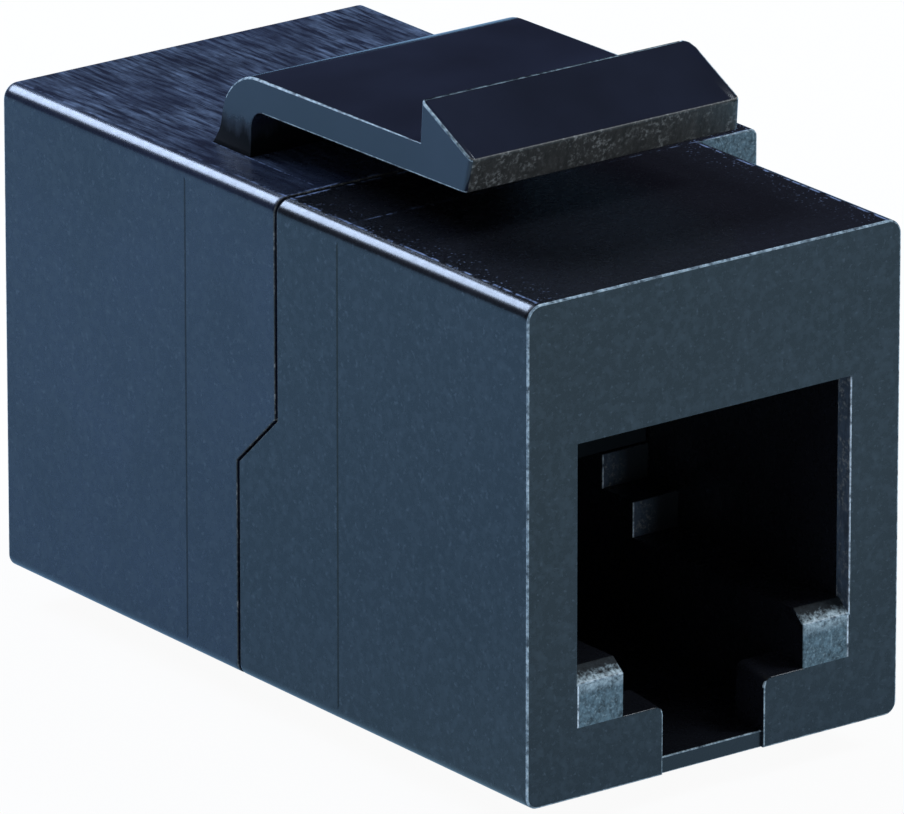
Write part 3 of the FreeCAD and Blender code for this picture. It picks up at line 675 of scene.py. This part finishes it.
def socket_finish(point, normal):
    """Material slot of a face of a housing, by where it lies and which way it looks."""
    depth = into_socket(point)
    if point.x > HALF_WIDTH + 0.1 * MM and normal.y < -0.9:
        return COARSE
    if not in_socket(point):
        return PLAIN
    on_rail = RAIL_INNER < abs(point.x) < PORT_HALF and point.z < RAIL_TOP
    if on_rail and depth < 0.5 * MM and abs(normal.x) < 0.5 and normal.z > -0.5:
        # beside the wall a rail's end gets the rim's painted highlight
        by_wall = abs(normal.y) > 0.9 and abs(point.x) > PORT_HALF - 0.06 * MM
        return RIM if by_wall else COARSE
    # the wall just inside a socket's rim and the steps deep in it are painted paler, as painted light
    on_wall = abs(normal.x) > 0.999 and abs(point.x) > PORT_HALF - 0.01 * MM
    if on_wall and depth < MOUTH and point.z > RAIL_TOP:
        return SOCKET_LIT
    on_step = abs(normal.y) > 0.9 and STEP_START < depth < STEP_END and point.z > RAIL_TOP
    return SOCKET_LIT if on_step else PLAIN


def straighten_roundings(shape):
    """Cuts the long roundings near their ends, so that their shading is even along their length."""
    def long_roundings():
        return [f for f in shape.faces if abs(f.normal.y) < 0.01
                and max(abs(f.normal.x), abs(f.normal.z)) < 0.9998
                and abs(f.calc_center_median().x) > HALF_WIDTH - 1.5 * MM]
    step = 0.1 * MM
    inset = 1.3 * step
    ends = {round(v.co.y / step) * step for f in long_roundings() for v in f.verts}
    for end in sorted(ends):
        for y in (end - inset, end + inset):
            cut(shape, long_roundings(), (0, y, 0), (0, 1, 0))


def dress_housing(shape, sizes, lines):
    """Rounds a housing's edges, gives its faces their finishes and scores its mould lines."""
    def on_outline(edge):
        middle = middles[edge]
        near_side = abs(abs(middle.x) - HALF_WIDTH) < 2 * MM
        return near_side or abs(middle.z - ROOF) < 0.01 * MM or into_socket(middle) < 0.01 * MM

    outline = [e for e in outward_edges(shape) if not any(in_socket(v.co) for v in e.verts)]
    middles = {e: (e.verts[0].co + e.verts[1].co) / 2 for e in outline}
    rounded = [e for e in outline if on_outline(e) and not near_joint(middles[e])]
    made = set(bevel(shape, rounded, sizes.outline_round, 2))
    straighten_roundings(shape)
    inner = [e for e in outward_edges(shape) if not made.intersection(e.link_faces)]
    made.update(bevel(shape, inner, sizes.port_round, 2))
    for face in made:
        if face.is_valid:
            face.material_index = edge_finish(face.calc_center_median(), face.normal)

    mark_off_socket(shape)
    for face in shape.faces:
        if face not in made:
            face.material_index = socket_finish(face.calc_center_median(), face.normal)
    for side, y, low, high in lines:
        score_line(shape, side, y, low, high, sizes.line_width, sizes.line_depth)


def mark_off_socket(shape):
    """Splits the end faces and the socket's walls where one finish gives way to another."""
    def end_faces():
        return [f for f in shape.faces if abs(f.normal.y) > 0.999
                and into_socket(f.calc_center_median()) < HAIR]

    def walls():
        return [f for f in shape.faces if abs(f.normal.x) > 0.999
                and abs(abs(f.calc_center_median().x) - PORT_HALF) < 0.01 * MM]

    for side in (-1, 1):
        for x in (PORT_HALF, PORT_HALF - 0.06 * MM, RAIL_INNER):
            cut(shape, end_faces(), (side * x, 0, 0), (1, 0, 0))
    cut(shape, end_faces(), (0, 0, SILL), (0, 0, 1))
    for y in (FACE_Y + MOUTH, REAR_Y - MOUTH):
        cut(shape, walls(), (0, y, 0), (0, 1, 0))


class BuildFrontHousing(bpy.types.Operator):
    """Front housing with rounded edges, its mould line and the rails' coarse ends"""
    bl_idname = "coupler.front_housing"
    bl_label = "Front housing"

    def execute(self, context):
        sizes = context.scene.coupler_shape
        shape = clean_copy("front_housing")
        y = FACE_Y + sizes.front_line
        below_tab = ROOF - 5.8 * MM
        dress_housing(shape, sizes, [(-1, y, LINE_LOW, LINE_HIGH), (1, y, LINE_LOW, below_tab)])
        finish_piece(shape, "front_shell", "housings", moulding_finishes("front"),
                     "front_housing")
        return {"FINISHED"}


class BuildRearHousing(bpy.types.Operator):
    """Rear housing with rounded edges and its mould line"""
    bl_idname = "coupler.rear_housing"
    bl_label = "Rear housing"

    def execute(self, context):
        sizes = context.scene.coupler_shape
        shape = clean_copy("rear_housing")
        y = FACE_Y + sizes.rear_line
        dress_housing(shape, sizes, [(side, y, LINE_LOW, LINE_HIGH) for side in (-1, 1)])
        finish_piece(shape, "rear_shell", "housings", moulding_finishes("rear"),
                     "rear_housing")
        return {"FINISHED"}


# ---------------------------------------------------------------- the latch
class BuildSnapLatch(bpy.types.Operator):
    """One sprung lever from the roof to its hook, which bends at its root"""
    bl_idname = "coupler.snap_latch"
    bl_label = "Snap latch"

    PROFILE = [  # depth behind the face and height above the roof, in millimetres
        (5.72, 1.65), (5.42, 2.76), (8.0, 4.06), (8.12, 2.65), (17.98, 2.53), (18.30, 0.42),
        (18.31, -0.05), (16.66, -0.05), (16.66, 1.46),
    ]
    LIP, TIP, RIDGE, CATCH, OUTER_BEND = PROFILE[:5]
    INNER_BEND = PROFILE[-1]
    BEND_ROUND = 0.6 * MM           # inside the bend
    ROUNDINGS = [(RIDGE, 0.1 * MM, 3), (OUTER_BEND, 1.6 * MM, 12), (INNER_BEND, BEND_ROUND, 8)]
    LIP_FLARE = 0.2 * MM            # how far the lip's right-hand corner sticks out
    FLARE_END = 6.4 * MM            # depth at which it has run out
    NOSE_FRONT = 5.8 * MM           # depth that takes in the nose's front alone
    HOOK_END = 8.2 * MM
    NOSE_ROUND = 0.17 * MM
    RIGHT_ROUND, LEFT_ROUND = 0.4 * MM, 0.18 * MM       # ends of the hook's ridge
    ROOT = FACE_Y + 17.47 * MM      # middle of the root, where it bends
    FOOT_FLARE, FOOT_HEIGHT = 0.15 * MM, 0.75 * MM
    FOOT_LEVELS = (0.0, 0.15, 0.3, 0.45, 0.6, 0.75, 0.9, 1.1, 1.3)      # cuts across the foot

    def execute(self, context):
        rim = context.scene.coupler_shape.latch_round
        half = LATCH_HALF + 0.02 * MM
        shape = self.blank(half)
        self.shape_nose(shape, half)
        self.round_hook_end(shape, half, self.RIGHT_ROUND, 5, rim)
        self.round_hook_end(shape, -half, self.LEFT_ROUND, 2, rim)
        for corner, radius, segments in self.ROUNDINGS:
            across = [e for e in shape.edges if all(self.on_corner(v.co, corner) for v in e.verts)]
            for face in bevel(shape, across, radius, segments):
                # the hook's ridge rounding is worn and painted paler as a highlight
                face.material_index = WORN_HIGHLIT if corner == self.RIDGE else PLAIN
        edges = [e for e in outward_edges(shape, math.radians(35))
                 if min(v.co.z for v in e.verts) > ROOF]
        for face in shape.faces:
            if self.rubs_on_panel(face):
                face.material_index = RUBBED
        for face in bevel(shape, edges, rim, 2):
            face.material_index = self.edge_finish(face)
        self.flare_foot(shape)
        piece = finish_piece(shape, "spring_latch", None, moulding_finishes("latch"),
                             "snap_latch")
        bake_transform(piece)
        return {"FINISHED"}

    def at(self, corner, x):
        """A corner of the profile as a point."""
        depth, rise = corner
        return Vector((x, FACE_Y + depth * MM, ROOF + rise * MM))

    def on_corner(self, point, corner):
        """Whether a point lies on the line across the latch at a corner."""
        return (point - self.at(corner, point.x)).length < HAIR

    def blank(self, half):
        """The profile as a bar across the roof."""
        shape = bmesh.new()
        side = shape.faces.new([shape.verts.new(self.at(corner, -half)) for corner in self.PROFILE])
        made = bmesh.ops.extrude_face_region(shape, geom=[side])
        far = [v for v in made["geom"] if isinstance(v, bmesh.types.BMVert)]
        bmesh.ops.translate(shape, verts=far, vec=(2 * half, 0, 0))
        bmesh.ops.recalc_face_normals(shape, faces=shape.faces)
        return shape

    def shape_nose(self, shape, half):
        """Draws the lip's right-hand corner out and rounds the nose's upright edges."""
        cut(shape, shape.faces[:], (0, FACE_Y + self.FLARE_END, 0), (0, 1, 0))
        for vertex in shape.verts:
            if (vertex.co - self.at(self.LIP, half)).length < HAIR:
                vertex.co.x += self.LIP_FLARE
        front = FACE_Y + self.NOSE_FRONT
        upright = [e for e in shape.edges if all(v.co.y < front for v in e.verts)
                   and abs(e.verts[0].co.x - e.verts[1].co.x) < half]
        bevel(shape, upright, self.NOSE_ROUND, 3)

    def round_hook_end(self, shape, end, radius, segments, rim):
        """Rounds one end of the hook's ridge, as seen square to its ramp, up to its rim."""
        side = math.copysign(1, end)
        inner = abs(end) - radius
        ridge, catch = self.at(self.RIDGE, 0), self.at(self.CATCH, 0)
        for i in range(segments):
            x = inner + (radius - 1.1 * rim) * math.sin(math.pi / 2 * i / (segments - 1))
            hook = [f for f in shape.faces if abs(f.normal.x) < 0.9
                    and f.calc_center_median().y < catch.y + 0.1 * MM]
            cut(shape, hook, (side * x, 0, 0), (1, 0, 0))
        ramp = ridge - self.at(self.TIP, 0)
        slack = 0.01 * MM
        for vertex in shape.verts:
            past = (vertex.co.x * side - inner) / radius
            if past <= 0 or not ridge.y - slack <= vertex.co.y <= catch.y + slack:
                continue
            back = radius * (1 - math.sqrt(max(0, 1 - past * past)))
            on_ridge = vertex.co.z > ridge.z - slack
            vertex.co.y -= back
            if on_ridge:
                vertex.co.z -= back * ramp.z / ramp.y

    def rubs_on_panel(self, face):
        """Whether a face is on the nose's front or under it."""
        middle = face.calc_center_median()
        on_nose = middle.y < FACE_Y + self.HOOK_END and middle.z > ROOF + MM
        return on_nose and (face.normal.y < -0.7 or face.normal.z < -0.5)

    def edge_finish(self, face):
        """Material slot of a rounded edge: rubbed at the nose, plain in the bend, else worn and
        highlit.
        """
        middle = face.calc_center_median()
        if middle.y < FACE_Y + self.NOSE_FRONT and abs(face.normal.x) < 0.5:
            return RUBBED
        bend = self.at(self.INNER_BEND, 0)
        in_bend = middle.y > bend.y - self.BEND_ROUND and middle.z < bend.z + 0.06 * MM
        return PLAIN if in_bend else WORN_HIGHLIT

    def flare_foot(self, shape):
        """Widens the foot in a curve towards the roof."""
        for level in self.FOOT_LEVELS:
            cut(shape, shape.faces[:], (0, 0, ROOF + level * MM), (0, 0, 1))
        for vertex in shape.verts:
            rise = max(0, (vertex.co.z - ROOF) / self.FOOT_HEIGHT)
            if rise < 1:
                flare = self.FOOT_FLARE * (1 - rise) ** 2
                vertex.co.x += math.copysign(flare, vertex.co.x)
                vertex.co.y += math.copysign(flare, vertex.co.y - self.ROOT)


# ---------------------------------------------------------------- carrier and contacts
class BuildCarrier(bpy.types.Operator):
    """Contact carrier with softened edges"""
    bl_idname = "coupler.contact_carrier"
    bl_label = "Contact carrier"

    def execute(self, context):
        colour = context.scene.coupler_finish.carrier_colour
        material = filled_insulator("insulator_glass_filled", colour)
        shape = clean_copy("contact_carrier")
        bevel(shape, outward_edges(shape), 0.03 * MM, 2)
        finish_piece(shape, "carrier_block", "housings", [material], "contact_carrier")
        return {"FINISHED"}


class FinishContacts(bpy.types.Operator):
    """Gold plating on the row of spring contacts"""
    bl_idname = "coupler.contacts"
    bl_label = "Contacts"

    def execute(self, context):
        gold = gold_plated_strip("gold_plated_strip", context.scene.coupler_finish.contact_colour)
        for name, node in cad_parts.items():
            if name.startswith("contact_") and name != "contact_carrier":
                node.data.materials.clear()
                node.data.materials.append(gold)
        return {"FINISHED"}


# ---------------------------------------------------------------- the stage
class BuildStage(bpy.types.Operator):
    """Pale floor, soft lamps, background and camera"""
    bl_idname = "coupler.stage"
    bl_label = "Stage"

    LAMPS = [  # name, direction from the coupler, roll in degrees, size in metres, watts, colour
        ("lamp_behind", (-0.171, 0.775, 0.61), -20, 0.25, 0.12, 1.9, "#c9deff"),
        ("lamp_right", (0.5665, -0.33, 0.756), 0, 0.16, 0.16, 1.0, "#e8f4ff"),
    ]
    LAMP_DISTANCE = 0.45
    FLOOR_HALF = 3.0
    SKY_REAR, SKY_FRONT = ("#9ccfff", 1.27), ("#b3e1ff", 1.25)      # what gloss shows of the floor
    AIM_RIGHT, AIM_DOWN = 0.198 * MM, 0.353 * MM                    # centres the view

    def execute(self, context):
        self.floor()
        self.background(context.scene)
        for lamp in self.LAMPS:
            self.lamp(*lamp)
        self.camera(context.scene)
        context.scene.view_settings.view_transform = "Standard"
        return {"FINISHED"}

    def floor(self):
        """Pale paper that the camera sees white, and in which gloss and glass see the sky."""
        shape = bmesh.new()
        bmesh.ops.create_grid(shape, x_segments=1, y_segments=1, size=self.FLOOR_HALF)
        bmesh.ops.translate(shape, verts=shape.verts, vec=(0, 0, CAD_BOX[0][2] - 0.02 * MM))
        mesh = bpy.data.meshes.new("floor")
        shape.to_mesh(mesh)
        shape.free()
        floor = bpy.data.objects.new("floor", mesh)
        bpy.context.scene.collection.objects.link(floor)
        material, tree = new_material("floor_paper")
        paper = add_node(tree, "BsdfDiffuse", {"Color": linear("#e8ebef")})
        seen = add_node(tree, "Emission", {"Color": linear("#ffffff"), "Strength": 1.0})
        # the sky is paler in front of the coupler, and dimmer near it as a painted shadow
        place = add_node(tree, "TexCoord", output="Object")
        to_front = add_node(tree, "MapRange", {
            "Value": add_node(tree, "SeparateXYZ", {"Vector": place}, output="Y"),
            1: -20 * MM, 2: 10 * MM, 3: 1.0, 4: 0.0})
        daylight = add_node(tree, "Mix", {0: to_front, 6: linear(*self.SKY_REAR),
                                          7: linear(*self.SKY_FRONT)}, output=2, data_type="RGBA")
        reach = add_node(tree, "VectorMath", {0: place, 1: tuple(BODY_CENTRE)}, output="Value",
                         operation="DISTANCE")
        painted_shadow_fade = add_node(tree, "MapRange", {"Value": reach, 1: 12 * MM, 2: 44 * MM,
                                               3: 0.70, 4: 0.86})
        mirrored = add_node(tree, "Emission", {"Color": daylight, "Strength": painted_shadow_fade})
        to_camera = add_node(tree, "Math", {
            0: add_node(tree, "LightPath", output="Is Camera Ray"), 1: 0.95}, operation="MULTIPLY")
        plain = add_node(tree, "MixShader", {0: to_camera, 1: paper, 2: seen})
        in_gloss = add_node(tree, "Math", {
            0: add_node(tree, "LightPath", output="Is Glossy Ray"),
            1: add_node(tree, "LightPath", output="Is Transmission Ray")}, operation="MAXIMUM")
        both = add_node(tree, "MixShader", {0: in_gloss, 1: plain, 2: mirrored})
        add_node(tree, "OutputMaterial", {"Surface": both})
        mesh.materials.append(material)

    def background(self, scene):
        """Even room light, seen white by the camera and dim blue in gloss."""
        world = bpy.data.worlds.new("studio")
        world.use_nodes = True
        tree = world.node_tree
        tree.nodes.clear()
        room = add_node(tree, "Background", {"Color": linear("#d5dff0"), "Strength": 0.45})
        dim = add_node(tree, "Background", {"Color": linear("#c4caff", 0.8), "Strength": 0.05})
        white = add_node(tree, "Background", {"Color": linear("#ffffff"), "Strength": 1.0})
        lit = add_node(tree, "MixShader", {
            0: add_node(tree, "LightPath", output="Is Glossy Ray"), 1: room, 2: dim})
        both = add_node(tree, "MixShader", {
            0: add_node(tree, "LightPath", output="Is Camera Ray"), 1: lit, 2: white})
        add_node(tree, "OutputWorld", {"Surface": both})
        scene.world = world

    def lamp(self, name, direction, roll, width, height, watts, colour):
        """Soft lamp that looks at the coupler."""
        light = bpy.data.lights.new(name, "AREA")
        light.shape = "RECTANGLE"
        light.size = width
        light.size_y = height
        light.energy = watts
        light.color = linear(colour)[:3]
        lamp = bpy.data.objects.new(name, light)
        away = Vector(direction).normalized()
        lamp.location = BODY_CENTRE + away * self.LAMP_DISTANCE
        turn = Matrix.Rotation(math.radians(roll), 3, away) @ away.to_track_quat("Z", "Y").to_matrix()
        lamp.rotation_euler = turn.to_euler()
        bpy.context.scene.collection.objects.link(lamp)

    def camera(self, scene):
        """Long lens at the view's azimuth and elevation."""
        view = scene.coupler_stage
        azimuth, elevation = view.view_azimuth, view.view_elevation
        back = Vector((math.sin(azimuth) * math.cos(elevation),
                       -math.cos(azimuth) * math.cos(elevation), math.sin(elevation)))
        right = Vector((math.cos(azimuth), math.sin(azimuth), 0))
        up = back.cross(right)
        aim = BODY_CENTRE + right * self.AIM_RIGHT - up * self.AIM_DOWN
        data = bpy.data.cameras.new("camera")
        data.sensor_width = 36
        data.lens = view.lens
        data.clip_start = 0.01
        camera = bpy.data.objects.new("camera", data)
        turn = Matrix((right, up, back)).transposed()
        camera.matrix_world = Matrix.Translation(aim + back * view.view_distance) @ turn.to_4x4()
        scene.collection.objects.link(camera)
        scene.camera = camera


class CouplerPanel(bpy.types.Panel):
    """Lists the coupler's sizes, finishes and build steps"""
    bl_idname = "COUPLER_PT_build"
    bl_label = "Keystone coupler"
    bl_space_type = "VIEW_3D"
    bl_region_type = "UI"
    bl_category = "Coupler"

    def draw(self, context):
        for group in GROUPS:
            box = self.layout.box()
            values = getattr(context.scene, group)
            for name in values.bl_rna.properties.keys():
                if name not in {"rna_type", "name"}:
                    box.prop(values, name)
        for operator in OPERATORS:
            self.layout.operator(operator.bl_idname)


GROUPS = {"coupler_shape": CouplerShape, "coupler_finish": CouplerFinish,
          "coupler_stage": CouplerStage}
OPERATORS = [BuildFrontHousing, BuildRearHousing, BuildSnapLatch, BuildCarrier, FinishContacts,
             BuildStage]


def register():
    for group in [*GROUPS.values(), *OPERATORS, CouplerPanel]:
        bpy.utils.register_class(group)
    for name, group in GROUPS.items():
        setattr(bpy.types.Scene, name, bpy.props.PointerProperty(type=group))


def unregister():
    for name in GROUPS:
        delattr(bpy.types.Scene, name)
    for group in reversed([*GROUPS.values(), *OPERATORS, CouplerPanel]):
        bpy.utils.unregister_class(group)


def main():
    register()
    bpy.ops.coupler.front_housing()
    bpy.ops.coupler.rear_housing()
    bpy.ops.coupler.snap_latch()
    bpy.ops.coupler.contact_carrier()
    bpy.ops.coupler.contacts()
    bpy.ops.coupler.stage()
    bpy.context.view_layer.update()


if __name__ == "__main__":
    main()
